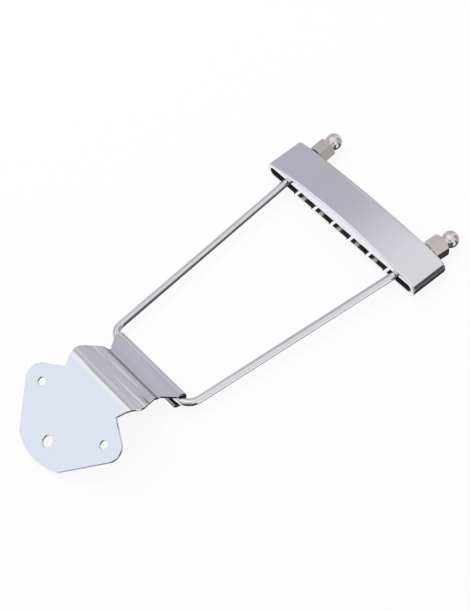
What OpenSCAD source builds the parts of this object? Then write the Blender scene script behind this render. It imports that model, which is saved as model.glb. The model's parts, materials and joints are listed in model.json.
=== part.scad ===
// Trapeze tailpiece: a hollow string bar on a bent wire frame, whose cross run
// lies in the curled hook of a tail bracket. Millimetres, +Y from the tail
// towards the bridge, +Z up, lying on a flat surface at Z = 0.

/* [String bar] */
// Length of the bar across the strings
bar_len = 85.2; // [84:0.2:90]
// Depth of the bar along the strings
bar_depth = 16.8; // [15:0.2:20]
// Thickness of the slotted floor
floor_t = 1.3; // [1.2:0.1:1.6]
// Inside height of the pocket
pocket_h = 4.2; // [4.1:0.1:4.6]
// Thickness of the top above the ends of the pocket
lip_t = 1.2; // [1:0.1:1.8]
// Rise of the crowned top from the ends to the middle
crown_rise = 4.2; // [3:0.1:5]
// Wall at each end of the pocket
end_wall_t = 1.6; // [1.4:0.1:2.2]
// Flat left between the rounded edges of each end
end_flat = 0.7; // [0.4:0.1:1]
// Wall at the back of the pocket
back_wall_t = 2.8; // [2.2:0.1:4]
// Rounding of the top's front edge
front_round_r = 0.8; // [0.4:0.1:1]
// Rounding of the top's rear edge
rear_round_r = 2.7; // [2:0.1:3.2]

/* [String slots] */
// Number of strings
string_count = 6; // [4:1:6]
// Distance between neighbouring strings
string_pitch = 10.4; // [9.6:0.1:10.6]
// Width of each slot
slot_w = 2.06; // [1.6:0.02:2.4]
// Height of the slot's rounded end in the back wall
slot_rise = 3; // [2.4:0.1:3.4]

/* [Wire frame] */
// Diameter of the rod
wire_d = 3; // [2.8:0.1:3.2]
// Distance between the arms' axes at the bar's front
arm_spacing = 62.8; // [61:0.1:65]
// Outward lean of each arm
arm_splay_deg = 5.1; // [4:0.1:6]
// Distance from the cross run to the bar's front
frame_len = 96.2; // [90:0.2:110]
// Radius of the two bends, to the rod's axis
bend_r = 6.2; // [5:0.1:6.6]
// Clearance between the rod and its hole in the bar
rod_hole_play = 0.25; // [0.1:0.05:0.4]
// Height of the arms above the middle of the pocket
rod_lift = 0.4; // [0:0.1:0.5]

/* [Cap nuts] */
// Width of the hexagon across its flats
nut_flats = 8; // [7:0.1:8.5]
// Length of the hexagon
hex_len = 6.7; // [6.5:0.1:8]
// Height that the chamfer takes off the hexagon's outer corners
hex_chamfer = 0.6; // [0.4:0.1:0.8]
// Radius of the ball on the end
ball_r = 3.4; // [3:0.1:3.6]
// Distance from the hexagon's end to the ball's centre
ball_reach = 3.4; // [3.2:0.1:3.6]
// Radius of the groove between hexagon and ball
neck_r = 2.7; // [2.4:0.1:2.9]
// Depth of the threaded hole
thread_depth = 9; // [7.5:0.1:9.5]
// Clearance between the nut's hole and the rod
thread_play = 0.05; // [0.02:0.01:0.1]
// Gap between the rod's end and the bottom of that hole
rod_end_gap = 0.4; // [0.2:0.1:1]
// Gap between the nut and the bar
seat_gap = 0.1; // [0.05:0.05:0.3]
// Turn of the left nut's hexagon
left_nut_turn_deg = 1; // [0:1:59]
// Turn of the right nut's hexagon
right_nut_turn_deg = 34; // [0:1:59]

/* [Tail bracket hook] */
// Thickness of the sheet
sheet_t = 1.2; // [1:0.1:1.3]
// Width of the hook and of the flat land behind it
hook_w = 37.6; // [36:0.2:38]
// Radius of the curl's outside
hook_outer_r = 3.4; // [3.2:0.1:3.8]
// End of the curl, measured round from the side of the bar
curl_end_deg = -159; // [-165:1:-150]
// Slope of the land
land_tilt_deg = 8; // [4:1:12]
// Length of the land
land_len = 7.2; // [6.5:0.1:8]

/* [Tail bracket neck] */
// Length of the step up from the land
step_len = 3.75; // [3.4:0.05:4.2]
// Slope of the step
step_tilt_deg = 56; // [50:1:60]
// Length of the rising slope behind the step
slope_len = 13.3; // [12.5:0.1:15]
// Slope of that face
slope_tilt_deg = 32; // [28:1:35]
// Radius of the bend between land and step, to the middle of the sheet
valley_r = 1.5; // [1.2:0.1:1.8]
// Radius of the bend between step and slope
ridge_r = 1.9; // [1.4:0.1:2.2]
// Radius of the bend between slope and pad
apex_r = 3.4; // [2.8:0.1:4]
// Width at the corners of the two notches beside the step
valley_w = 28.6; // [27:0.2:30]
// Distance from the bend at the foot of the step to those corners
valley_notch_reach = 0.7; // [0.4:0.1:1]
// Rounding of those notches
valley_notch_r = 2; // [1.6:0.1:2.4]
// Width at the corners where the neck is widest
lobe_w = 38.8; // [37:0.1:39.4]
// Distance from the apex to those corners
lobe_reach = 3.5; // [3:0.1:4]
// Rounding of those corners
lobe_r = 5; // [4:0.1:6]
// Width where the neck runs under the pad's shoulders
waist_w = 28.4; // [27:0.2:29]
// Distance from the bend at the foot of the step to the hook's ends
flare_reach = 5.9; // [5.6:0.1:6.2]
// Rounding where the hook's ends meet the neck
flare_r = 1; // [0.5:0.1:1.4]

/* [Tail bracket pad] */
// Distance between the two screw holes
screw_spacing = 37.6; // [36:0.1:39]
// Diameter of the screw holes
screw_hole_d = 3.4; // [3:0.1:4]
// Diameter of the end-pin hole
pin_hole_d = 4.6; // [4:0.1:6]
// Distance from the screw holes to the end-pin hole
pin_hole_reach = 14; // [13:0.1:15]
// Distance from the screw holes to the apex of the neck
pad_rise_len = 16.1; // [15.5:0.1:17]
// Distance from the screw holes to the pad's tip
pad_tip_reach = 22.2; // [21.5:0.1:24]
// Radius of each ear round its screw hole
ear_r = 5.8; // [5.2:0.1:6.2]
// Distance of the ears' centres above the screw holes
ear_rise = 0.3; // [0:0.1:0.6]
// Distance between the ears' centres
ear_spacing = 41.2; // [40:0.1:42]
// Radius of the curved lower edge
tip_arc_r = 25.1; // [24:0.1:28]
// Rounding of the lower corners
tip_corner_r = 5; // [4:0.1:6]
// Distance between the lower corners' centres
tip_corner_spacing = 17.4; // [16:0.1:19]
// Radius of each shoulder between ear and waist
shoulder_r = 6; // [5:0.1:7]
// Distance between the shoulders' centres
shoulder_spacing = 24; // [23:0.1:25]
// Distance from the screw holes to the shoulders' centres
shoulder_rise = 5; // [4:0.1:5.4]

/* [Hidden] */
$fn = 96;

cut_over = 1;
hex_sides = 6;
wire_r = wire_d / 2;
chamfer_slope = tan(30);

// The swinging frame is drawn level, with its arms at the height of the hook's
// axis, and the hook's outside touches the surface that the part lies on.
wire_z = hook_outer_r;
bar_z = wire_z - floor_t - pocket_h / 2 - rod_lift;
hook_mid_r = hook_outer_r - sheet_t / 2;

// String bar
bar_half = bar_len / 2;
pocket_half = bar_half - end_wall_t;
pocket_depth = bar_depth - back_wall_t;
end_round_r = (floor_t + pocket_h + lip_t - end_flat) / 2;
crown_h = floor_t + pocket_h + lip_t + crown_rise;
crown_r = (pow(pocket_half, 2) + pow(crown_rise, 2)) / (2 * crown_rise);
crown_axis_z = crown_h - crown_r;
crown_sweep_deg = 2 * asin((bar_half + cut_over) / crown_r);
end_axis_x = bar_half - end_round_r;
end_top_z = crown_axis_z + sqrt(pow(crown_r - end_round_r, 2) - pow(end_axis_x, 2));
slot_first_x = -(string_count - 1) / 2 * string_pitch;

// Wire frame
arm_foot_y = bend_r * (1 - sin(arm_splay_deg));
arm_foot_x = arm_spacing / 2 - (frame_len - arm_foot_y) * tan(arm_splay_deg);
bend_axis_x = arm_foot_x - bend_r * cos(arm_splay_deg);

// Cap nuts, measured along the arm from the bar's front
hex_corner_r = nut_flats / 2 / cos(180 / hex_sides);
nut_seat = bar_depth / cos(arm_splay_deg) + hex_corner_r * tan(arm_splay_deg) + seat_gap;
hex_face_r = hex_corner_r - hex_chamfer / chamfer_slope;
ball_centre = hex_len + ball_reach;
rod_end = nut_seat + thread_depth - rod_end_gap;
arm_len = (frame_len - arm_foot_y) / cos(arm_splay_deg) + rod_end;

// The nuts reach lower than the bar, so they lie on the surface and the frame
// rises from the hook's axis towards them.
half_side_deg = 180 / hex_sides;
nut_low_r = hex_corner_r * max([for (turn = [left_nut_turn_deg, right_nut_turn_deg])
    cos(turn % (2 * half_side_deg) - half_side_deg)]);
nut_base_y = frame_len + nut_seat * cos(arm_splay_deg);
frame_rise_deg = acos(wire_z / norm([nut_low_r, nut_base_y])) - atan(nut_base_y / nut_low_r);

// Tail bracket: the corners of the bent sheet's middle line, seen from the side
land_start = [hook_mid_r * sin(land_tilt_deg), wire_z + hook_mid_r * cos(land_tilt_deg)];
valley_at = land_start + land_len * [-cos(land_tilt_deg), sin(land_tilt_deg)];
ridge_at = valley_at + step_len * [-cos(step_tilt_deg), sin(step_tilt_deg)];
apex_at = ridge_at + slope_len * [-cos(slope_tilt_deg), sin(slope_tilt_deg)];
pad_len = pad_rise_len + pad_tip_reach;
// The pad tilts until its tip touches the surface that the part lies on.
pad_reach = sqrt(pow(pad_len, 2) + pow(sheet_t / 2, 2));
pad_tilt_deg = asin(apex_at[1] / pad_reach) - atan(sheet_t / 2 / pad_len);
pad_dir = [cos(pad_tilt_deg), sin(pad_tilt_deg)];
pad_at = apex_at - pad_rise_len * pad_dir;
pad_tip_at = pad_at - (pad_tip_reach + cut_over) * pad_dir;
bend_steps = 8;
arc_steps = 12;
curl_steps = 40;

// Right side of the hook and the neck, seen from above
hook_half = hook_w / 2;
flare_y = valley_at[0] + flare_reach;
valley_y = valley_at[0] + valley_notch_reach;
lobe_y = apex_at[0] + lobe_reach;
waist_y = pad_at[0] + (shoulder_rise + shoulder_r / 2) * pad_dir[0];

// Lower edge of the pad: its arc is tangent to both corner circles
tip_arc_v = tip_arc_r - pad_tip_reach;
tip_corner_v = tip_arc_v - sqrt(pow(tip_arc_r - tip_corner_r, 2) - pow(tip_corner_spacing / 2, 2));

// The frame's origin is the middle of the part's length
tip_y = pad_at[0] - pad_tip_reach * pad_dir[0] - sheet_t / 2 * pad_dir[1];
ball_y = frame_len + (nut_seat + ball_centre) * cos(arm_splay_deg);
ball_end_y = ball_y * cos(frame_rise_deg) + ball_r;
origin_shift_y = -(tip_y + ball_end_y) / 2;

// Shapes used by several pieces

function left_of(d) = [-d[1], d[0]];
function unit(v) = v / norm(v);
function turn_deg(a, b) = atan2(a[0] * b[1] - a[1] * b[0], a * b);
function heading(a, b) = atan2(b[1] - a[1], b[0] - a[0]);

// Samples along a line that bends at one corner: each is a point and the
// direction to the line's left there
function bend_at(before, at, after, radius) =
    let (
        into = unit(at - before),
        turn = turn_deg(into, after - at),
        hand = sign(turn),
        start = at - radius * tan(abs(turn) / 2) * into,
        axis = start + hand * radius * left_of(into),
        from = heading(axis, start)
    )
    [for (i = [0:bend_steps])
        let (a = from + turn * i / bend_steps, out = [cos(a), sin(a)])
        [axis + radius * out, -hand * out]];

// Samples along a whole line of corners, with its two ends
function bent_line(corners, radii) =
    let (last = len(corners) - 1)
    concat(
        [[corners[0], left_of(unit(corners[1] - corners[0]))]],
        [for (i = [1:last - 1]) each bend_at(corners[i - 1], corners[i], corners[i + 1], radii[i])],
        [[corners[last], left_of(unit(corners[last] - corners[last - 1]))]]
    );

// Samples along an arc that runs anticlockwise
function arc(axis, radius, from, to) =
    let (sweep = (to - from + 360) % 360)
    [for (i = [0:arc_steps])
        let (a = from + sweep * i / arc_steps)
        axis + radius * [cos(a), sin(a)]];

// Heading from each circle's centre to where their common outer tangent touches
function touch_deg(centre_1, r_1, centre_2, r_2) =
    heading(centre_1, centre_2) - acos((r_1 - r_2) / norm(centre_2 - centre_1));

// Closed outline from the points of its right side and their mirror image
module mirrored_outline(side) {
    last = len(side) - 1;
    polygon(concat(side, [for (i = [last:-1:0]) [-side[i][0], side[i][1]]]));
}

// Closed outline of a sheet that follows the samples of a line
module sheet_outline(samples, thick) {
    last = len(samples) - 1;
    polygon(concat(
        [for (s = samples) s[0] + thick / 2 * s[1]],
        [for (i = [last:-1:0]) samples[i][0] - thick / 2 * samples[i][1]]
    ));
}

// Places its children along an arm: local +Y runs out along the rod from the
// plane of the bar's front
module along_arm(side) {
    translate([side * arm_spacing / 2, frame_len, wire_z])
        rotate([0, 0, -side * arm_splay_deg])
            children();
}

// Rod along local +Y
module rod_y(radius, from, to) {
    translate([0, from, 0])
        rotate([-90, 0, 0])
            cylinder(r = radius, h = to - from);
}

// String bar

// Section of the bar with its two rounded top edges, in radius and depth
module bar_section() {
    low = crown_r - crown_h - cut_over;
    square_top = crown_r - rear_round_r;
    difference() {
        translate([low, 0])
            square([crown_r - low, bar_depth]);
        difference() {
            translate([crown_r - front_round_r, -cut_over])
                square([front_round_r + cut_over, front_round_r + cut_over]);
            translate([crown_r - front_round_r, front_round_r])
                circle(r = front_round_r);
        }
        difference() {
            translate([square_top, bar_depth - rear_round_r])
                square(rear_round_r + cut_over);
            translate([square_top, bar_depth - rear_round_r])
                circle(r = rear_round_r);
        }
    }
}

// Front view of the bar: flat floor, rounded ends, open above the crown
module bar_front_view() {
    for (side = [-1, 1]) {
        translate([side * end_axis_x, end_round_r])
            circle(r = end_round_r);
        translate([side * end_axis_x, end_top_z])
            circle(r = end_round_r);
    }
    translate([-bar_half, end_round_r])
        square([bar_len, end_top_z - end_round_r]);
    translate([-end_axis_x, 0])
        square([2 * end_axis_x, crown_h + cut_over]);
}

module crowned_block() {
    intersection() {
        translate([0, 0, crown_axis_z])
            rotate([-90, 0, 0])
                rotate([0, 0, -90 - crown_sweep_deg / 2])
                    rotate_extrude(angle = crown_sweep_deg, $fn = 720)
                        bar_section();
        translate([0, bar_depth + cut_over, 0])
            rotate([90, 0, 0])
                linear_extrude(height = bar_depth + 2 * cut_over)
                    bar_front_view();
    }
}

// Pocket with half-round ends
module pocket() {
    axis_x = pocket_half - pocket_h / 2;
    translate([0, pocket_depth, floor_t + pocket_h / 2])
        rotate([90, 0, 0])
            linear_extrude(height = pocket_depth + cut_over) {
                square([2 * axis_x, pocket_h], center = true);
                for (side = [-1, 1])
                    translate([side * axis_x, 0])
                        circle(r = pocket_h / 2);
            }
}

// Slot through the floor that runs on as a round-topped slot in the back wall
module string_slot() {
    translate([-slot_w / 2, -cut_over, -cut_over])
        cube([slot_w, bar_depth + 2 * cut_over, slot_rise + cut_over]);
    translate([0, 0, slot_rise])
        rod_y(slot_w / 2, -cut_over, bar_depth + cut_over);
}

module string_bar() {
    color("silver")
        difference() {
            translate([0, frame_len, bar_z])
                difference() {
                    crowned_block();
                    pocket();
                    for (i = [0:string_count - 1])
                        translate([slot_first_x + i * string_pitch, 0, 0])
                            string_slot();
                }
            for (side = [-1, 1])
                along_arm(side)
                    rod_y(wire_r + rod_hole_play, pocket_depth - cut_over, bar_depth + 2 * cut_over);
        }
}

// Wire frame

// Half of the cross run, one bend and one arm, drawn from the bend's axis
module wire_half() {
    translate([bend_axis_x, bend_r, wire_z]) {
        translate([0, -bend_r, 0])
            rotate([0, -90, 0])
                cylinder(r = wire_r, h = bend_axis_x);
        rotate([0, 0, -90])
            rotate_extrude(angle = 90 - arm_splay_deg)
                translate([bend_r, 0])
                    circle(r = wire_r);
        rotate([0, 0, -arm_splay_deg])
            translate([bend_r, 0, 0])
                rod_y(wire_r, 0, arm_len);
    }
}

module wire_frame() {
    color("gainsboro") {
        wire_half();
        mirror([1, 0, 0])
            wire_half();
    }
}

// Cap nuts

// Turned envelope that chamfers the corners of the hexagon's outer end
module chamfer_envelope() {
    rotate_extrude()
        polygon([
            [0, 0],
            [hex_corner_r + cut_over, 0],
            [hex_corner_r + cut_over, hex_len - hex_chamfer - cut_over * chamfer_slope],
            [hex_face_r, hex_len],
            [0, hex_len]
        ]);
}

module cap_nut(turn) {
    rotate([-90, 0, 0])
        difference() {
            union() {
                intersection() {
                    rotate([0, 0, turn])
                        cylinder(r = hex_corner_r, h = hex_len, $fn = hex_sides);
                    chamfer_envelope();
                }
                cylinder(r = neck_r, h = ball_centre);
                translate([0, 0, ball_centre])
                    sphere(r = ball_r);
            }
            translate([0, 0, -cut_over])
                cylinder(r = wire_r + thread_play, h = thread_depth + cut_over);
        }
}

module left_nut() {
    color("darkgray")
        along_arm(-1)
            translate([0, nut_seat, 0])
                cap_nut(left_nut_turn_deg);
}

module right_nut() {
    color("darkgray")
        along_arm(1)
            translate([0, nut_seat, 0])
                cap_nut(right_nut_turn_deg);
}

// Tail bracket

// Side view of the whole sheet, from the end of the curl to the pad's tip
module bracket_side_view() {
    curl_sweep = 90 - land_tilt_deg - curl_end_deg;
    curl = [for (i = [0:curl_steps])
        let (a = curl_end_deg + curl_sweep * i / curl_steps, out = [cos(a), sin(a)])
        [[0, wire_z] + hook_mid_r * out, -out]];
    rest = bent_line(
        [land_start, valley_at, ridge_at, apex_at, pad_tip_at],
        [0, valley_r, ridge_r, apex_r, 0]
    );
    sheet_outline(concat(curl, [for (i = [1:len(rest) - 1]) rest[i]]), sheet_t);
}

// Plan view of the hook and the neck
module bracket_plan_view() {
    side = bent_line(
        [[hook_half, hook_outer_r + cut_over], [hook_half, flare_y], [valley_w / 2, valley_y],
         [lobe_w / 2, lobe_y], [waist_w / 2, waist_y]],
        [0, flare_r, valley_notch_r, lobe_r, 0]
    );
    mirrored_outline([for (s = side) s[0]]);
}

// Outline of the pad, with the screw holes on its X axis
module pad_outline() {
    arc_axis = [0, tip_arc_v];
    corner = [tip_corner_spacing / 2, tip_corner_v];
    ear = [ear_spacing / 2, ear_rise];
    shoulder = [shoulder_spacing / 2, shoulder_rise];
    tip_to = heading(arc_axis, corner);
    corner_to = touch_deg(corner, tip_corner_r, ear, ear_r);
    ear_to = touch_deg(ear, ear_r, shoulder, shoulder_r);
    tip = arc(arc_axis, tip_arc_r, -90, tip_to);
    mirrored_outline(concat(
        [for (i = [1:arc_steps - 1]) tip[i]],
        arc(corner, tip_corner_r, tip_to, corner_to),
        arc(ear, ear_r, corner_to, ear_to),
        arc(shoulder, shoulder_r, ear_to, 90)
    ));
}

// Places its children on the pad: local +Y runs up the pad from the screw holes
module on_pad() {
    translate([0, pad_at[0], pad_at[1]])
        rotate([pad_tilt_deg, 0, 0])
            children();
}

module pad_hole(x, v, d) {
    translate([x, v, -sheet_t])
        cylinder(d = d, h = 2 * sheet_t);
}

module tail_bracket() {
    stock_half = ear_spacing / 2 + ear_r + cut_over;
    color("lightsteelblue")
        difference() {
            intersection() {
                rotate([90, 0, 90])
                    translate([0, 0, -stock_half])
                        linear_extrude(height = 2 * stock_half)
                            bracket_side_view();
                union() {
                    translate([0, 0, -cut_over])
                        linear_extrude(height = apex_at[1] + 2 * cut_over)
                            bracket_plan_view();
                    on_pad()
                        translate([0, 0, -2 * sheet_t])
                            linear_extrude(height = 4 * sheet_t)
                                pad_outline();
                }
            }
            on_pad() {
                for (side = [-1, 1])
                    pad_hole(side * screw_spacing / 2, 0, screw_hole_d);
                pad_hole(0, -pin_hole_reach, pin_hole_d);
            }
        }
}

// Places the pieces that swing in the hook: they rise from the hook's axis
module swung() {
    translate([0, origin_shift_y, wire_z])
        rotate([frame_rise_deg, 0, 0])
            translate([0, 0, -wire_z])
                children();
}

swung() string_bar();
swung() wire_frame();
swung() left_nut();
swung() right_nut();
translate([0, origin_shift_y, 0]) tail_bracket();
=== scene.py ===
# %% [markdown]
# # A chrome trapeze tailpiece
# The part holds the strings at the tail of an archtop guitar: a hollow bar on a
# bent wire, which swings in the curled hook of a pressed bracket. The packed
# model fixes every place and size, so it is loaded first and never changed. Its
# faces are flat triangles, and chrome shows each of them, so each piece is
# built again here with smooth bends, in the same place.

import json
import math

import bmesh
import bpy
from mathutils import Matrix, Vector
from mathutils.geometry import intersect_line_sphere_2d


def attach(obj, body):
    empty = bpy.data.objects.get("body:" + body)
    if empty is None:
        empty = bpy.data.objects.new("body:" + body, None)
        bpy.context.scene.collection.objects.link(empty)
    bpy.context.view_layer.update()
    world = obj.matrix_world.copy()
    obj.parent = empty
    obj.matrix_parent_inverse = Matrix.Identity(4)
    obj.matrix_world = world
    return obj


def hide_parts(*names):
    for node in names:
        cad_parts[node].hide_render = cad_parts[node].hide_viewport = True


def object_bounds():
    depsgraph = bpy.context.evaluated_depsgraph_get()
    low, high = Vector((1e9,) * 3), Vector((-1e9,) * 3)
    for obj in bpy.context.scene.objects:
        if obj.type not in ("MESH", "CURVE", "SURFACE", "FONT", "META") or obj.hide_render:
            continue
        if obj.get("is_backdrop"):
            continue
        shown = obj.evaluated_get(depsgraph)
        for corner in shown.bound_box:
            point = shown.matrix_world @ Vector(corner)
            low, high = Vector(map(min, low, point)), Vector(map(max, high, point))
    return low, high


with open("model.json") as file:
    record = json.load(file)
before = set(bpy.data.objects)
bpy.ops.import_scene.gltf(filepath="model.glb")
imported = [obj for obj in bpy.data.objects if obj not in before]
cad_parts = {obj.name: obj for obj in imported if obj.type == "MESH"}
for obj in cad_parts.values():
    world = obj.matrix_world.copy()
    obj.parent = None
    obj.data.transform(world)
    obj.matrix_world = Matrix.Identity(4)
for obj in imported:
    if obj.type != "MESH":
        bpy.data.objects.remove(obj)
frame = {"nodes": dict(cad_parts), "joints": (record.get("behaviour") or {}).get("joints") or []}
cad_low, cad_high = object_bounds()
print("nodes in the frame:", sorted(frame["nodes"]))

# %% [markdown]
# ## Where things go
# The wire lies in the hook, so the hook's axis is the best place to measure
# from. The record says where it is, and the direction of a nut's axis says how
# far the wire frame rises and how far its arms lean outwards. Pieces are drawn
# in millimetres round the hook's axis. Two matrices then put them in the frame:
# one for what swings, and one for the bracket.

# %% Two places to put pieces
joints = {joint["name"]: joint for joint in frame["joints"]}
hook_axis = Vector(joints["frame_swing"]["pos_m"])
nut_seat = Vector(joints["right_nut_turn"]["pos_m"])
arm_direction = Vector(joints["right_nut_turn"]["axis"])
arm_rise = math.atan2(arm_direction.z, arm_direction.y)
arm_lean = math.asin(arm_direction.x)

millimetres = Matrix.Scale(0.001, 4)
bracket_place = Matrix.Translation(hook_axis) @ millimetres
swing_place = Matrix.Translation(hook_axis) @ Matrix.Rotation(arm_rise, 4, "X") @ millimetres
print(f"arms rise {math.degrees(arm_rise):.2f} and lean {math.degrees(arm_lean):.2f} degrees")

# %% [markdown]
# ## The camera
# It stands to the right of the tail end and looks down steeply through a long
# lens, so the part runs from the lower left to the upper right with hardly any
# perspective. Its three axes are written as the columns of a rotation.

# %% Camera
photo_width_px = 470
focal_px = 2000
film_mm = 36
camera_place = Vector((0.366521, -0.243585, 0.625365))
camera_right = Vector((0.64365, 0.76185, -0.07273))
camera_up = Vector((-0.59624, 0.55876, 0.57644))
camera_back = camera_right.cross(camera_up)

camera_data = bpy.data.cameras.new("camera")
camera_data.sensor_fit = "HORIZONTAL"
camera_data.sensor_width = film_mm
camera_data.lens = film_mm * focal_px / photo_width_px
camera_data.clip_start = 0.02
camera_data.clip_end = 20
camera = bpy.data.objects.new("camera", camera_data)
bpy.context.scene.collection.objects.link(camera)
turned = Matrix((camera_right, camera_up, camera_back)).transposed().to_4x4()
camera.matrix_world = Matrix.Translation(camera_place) @ turned
bpy.context.scene.camera = camera
print("camera at", [round(x, 3) for x in camera.location])

# %% [markdown]
# ## Drawing with one vertex
# An outline is drawn as with a pencil: a vertex is pulled to the next corner,
# or spun about a centre to leave an arc behind it. Points closer than a
# thousandth of a millimetre are the same point.

# %% Pencil
join_mm = 0.001


def only(kind, geometry):
    return [part for part in geometry if isinstance(part, kind)]


def start_at(bm, point):
    return bmesh.ops.create_vert(bm, co=point)["vert"][0]


def line_to(bm, vert, point):
    end = only(bmesh.types.BMVert, bmesh.ops.extrude_vert_indiv(bm, verts=[vert])["verts"])[0]
    end.co = point
    return end


def arc_to(bm, vert, centre, axis, degrees, steps):
    spun = bmesh.ops.spin(
        bm, geom=[vert], cent=centre, axis=axis, angle=math.radians(degrees), steps=steps
    )
    return only(bmesh.types.BMVert, spun["geom_last"])[0]


# %% [markdown]
# A loop of edges is drawn out into a wall in the same way. The part is the same
# on its left and right, so most drawings stop at the middle and are mirrored.

# %% Walls and halves
def draw_out(bm, loop, step=(0, 0, 0)):
    made = bmesh.ops.extrude_edge_only(bm, edges=loop)["geom"]
    verts = only(bmesh.types.BMVert, made)
    bmesh.ops.translate(bm, verts=verts, vec=step)
    fresh = set(verts)
    return [e for e in only(bmesh.types.BMEdge, made) if set(e.verts) <= fresh]


def ring_verts(loop):
    return list(dict.fromkeys(vert for edge in loop for vert in edge.verts))


def mirror_half(bm):
    half = bm.verts[:] + bm.edges[:] + bm.faces[:]
    bmesh.ops.mirror(bm, geom=half, matrix=Matrix.Identity(4), merge_dist=join_mm, axis="X")


# %% [markdown]
# ## Handing a piece over
# A finished drawing loses its doubled points, gets its faces pointing outwards
# and moves to its place in metres. Edges sharper than a limit stay crisp and
# the rest are shaded smooth. The piece then takes the place of its CAD node and
# rides on that node's body.

# %% From drawing to piece
weld_mm = 0.0008


def finish_drawing(bm, place, name):
    bmesh.ops.remove_doubles(bm, verts=bm.verts, dist=weld_mm)
    bmesh.ops.recalc_face_normals(bm, faces=bm.faces)
    bmesh.ops.transform(bm, matrix=place, verts=bm.verts)
    mesh = bpy.data.meshes.new(name)
    bm.to_mesh(mesh)
    bm.free()
    piece = bpy.data.objects.new(name, mesh)
    bpy.context.scene.collection.objects.link(piece)
    return piece


def stand_in(piece, node, body, sharp_deg=30):
    mesh = piece.data
    mesh.polygons.foreach_set("use_smooth", [True] * len(mesh.polygons))
    mesh.set_sharp_from_angle(angle=math.radians(sharp_deg))
    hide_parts(node)
    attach(piece, body)
    check = bmesh.new()
    check.from_mesh(mesh)
    open_edges = sum(not edge.is_manifold for edge in check.edges)
    volume = check.calc_volume() * 1e9
    print(f"{piece.name}: {len(mesh.polygons)} faces, {open_edges} open edges, {volume:.0f} mm3")
    check.free()


# %% [markdown]
# ## The wire
# One 3 mm rod is bent twice into a U. Only the right half is drawn: a ring is
# drawn out along the hook, spun round the bend and drawn out again as the arm,
# and the mirror adds the rest. Spin keeps the rod round through the bend, where
# a curve object would need its bevel tuned. A narrow band of faces on each side
# of the bend keeps its shading from running on into the straight.
#
# The rod's ends are hidden in the nuts, so a plain chamfer is enough there.

# %% Wire frame
rod_r = 1.5
bend_r = 6.2
bend_x = 17.1431
arm_run = 116.89
band = 0.1
tip_len = 0.4
tip_share = 0.75


def rod_ring(bm):
    ring = bmesh.ops.create_circle(bm, cap_ends=False, segments=64, radius=rod_r)["verts"]
    bmesh.ops.rotate(bm, verts=ring, cent=(0, 0, 0), matrix=Matrix.Rotation(math.pi / 2, 3, "Y"))
    return bm.edges[:]


def wire_shape():
    bm = bmesh.new()
    loop = rod_ring(bm)
    for reach in (bend_x - band, band):
        loop = draw_out(bm, loop, (reach, 0, 0))
    spun = bmesh.ops.spin(
        bm, geom=ring_verts(loop) + loop, cent=(bend_x, bend_r, 0), axis=(0, 0, 1),
        angle=math.pi / 2 - arm_lean, steps=56,
    )
    loop = only(bmesh.types.BMEdge, spun["geom_last"])
    along = Vector((math.sin(arm_lean), math.cos(arm_lean), 0))
    for reach in (band, arm_run - 2 * band - tip_len, band, tip_len):
        loop = draw_out(bm, loop, along * reach)
    tip = ring_verts(loop)
    middle = sum((vert.co for vert in tip), Vector()) / len(tip)
    bmesh.ops.scale(bm, verts=tip, vec=(tip_share,) * 3, space=Matrix.Translation(-middle))
    bmesh.ops.edgeloop_fill(bm, edges=loop)
    mirror_half(bm)
    return bm


wire = finish_drawing(wire_shape(), swing_place, "wire_frame_rod")
stand_in(wire, "wire_frame", "frame")

# %% [markdown]
# ## The string bar
# The bar is a shallow bridge shape: flat below, round at both ends and crowned
# on top. Its front outline is drawn first, from the middle of the floor round
# the right end to the top of the crown.

# %% Outline of the bar's front
bar_half = 42.6
bar_depth = 16.8
bar_front_y = 96.2
bar_floor_z = -3.8
bar_height = 10.9
end_r = 3.0
end_axis_x = bar_half - end_r
crown_r = 202.219
crown_axis_z = bar_height - crown_r
end_top_z = crown_axis_z + math.sqrt((crown_r - end_r) ** 2 - end_axis_x ** 2)
crown_half_deg = math.degrees(math.atan2(end_axis_x, end_top_z - crown_axis_z))


def bar_outline(bm):
    facing = (0, -1, 0)
    pen = start_at(bm, (0, 0, 0))
    pen = line_to(bm, pen, (end_axis_x, 0, 0))
    pen = arc_to(bm, pen, (end_axis_x, 0, end_r), facing, 90, 16)
    pen = line_to(bm, pen, (bar_half, 0, end_top_z))
    pen = arc_to(bm, pen, (end_axis_x, 0, end_top_z), facing, 90 - crown_half_deg, 16)
    arc_to(bm, pen, (0, 0, crown_axis_z), facing, crown_half_deg, 48)
    mirror_half(bm)
    bmesh.ops.remove_doubles(bm, verts=bm.verts, dist=join_mm)
    return bm.edges[:]


print(f"crown ends {crown_half_deg:.2f} degrees from the middle, at {end_top_z + end_r:.2f} mm")

# %% [markdown]
# The outline is drawn out along the strings in small steps. Near the front and
# the back each step shrinks it along a quarter circle, which rounds the rim. To
# shrink it evenly, each point has to know which way the outline faces there: up
# on the crown, down on the floor, and away from the end's axis elsewhere.

# %% Which way the outline faces
hair = 0.01


def outward(point):
    crown = Vector((point.x, 0, point.z - crown_axis_z))
    on_crown = abs(point.x) < crown.z * math.tan(math.radians(crown_half_deg + hair))
    if point.z > end_r and on_crown:
        return crown.normalized()
    if abs(point.x) <= end_axis_x + join_mm and point.z < hair:
        return Vector((0, 0, -1))
    centre_z = min(max(point.z, end_r), end_top_z)
    centre_x = math.copysign(end_axis_x, point.x)
    return Vector((point.x - centre_x, 0, point.z - centre_z)).normalized()


# %% [markdown]
# The rim's radius differs from place to place, as on a polished casting: nearly
# sharp along the floor, softer on top, and softest along the top's rear edge,
# there most of all at the middle of the bar. One Bevel would give the same
# radius everywhere, so the radius is a function of the point.

# %% How round the rim is
front_rim = (0.8, 0.5, 0.25)  # radius on top, at the ends and along the floor
rear_rim = (2.7, 0.8, 0.25)
rear_top_least = 0.9
rear_top_loss = 1.2
rear_top_span = 28
rear_top_power = 2.5
rim_blend = 3


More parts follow.
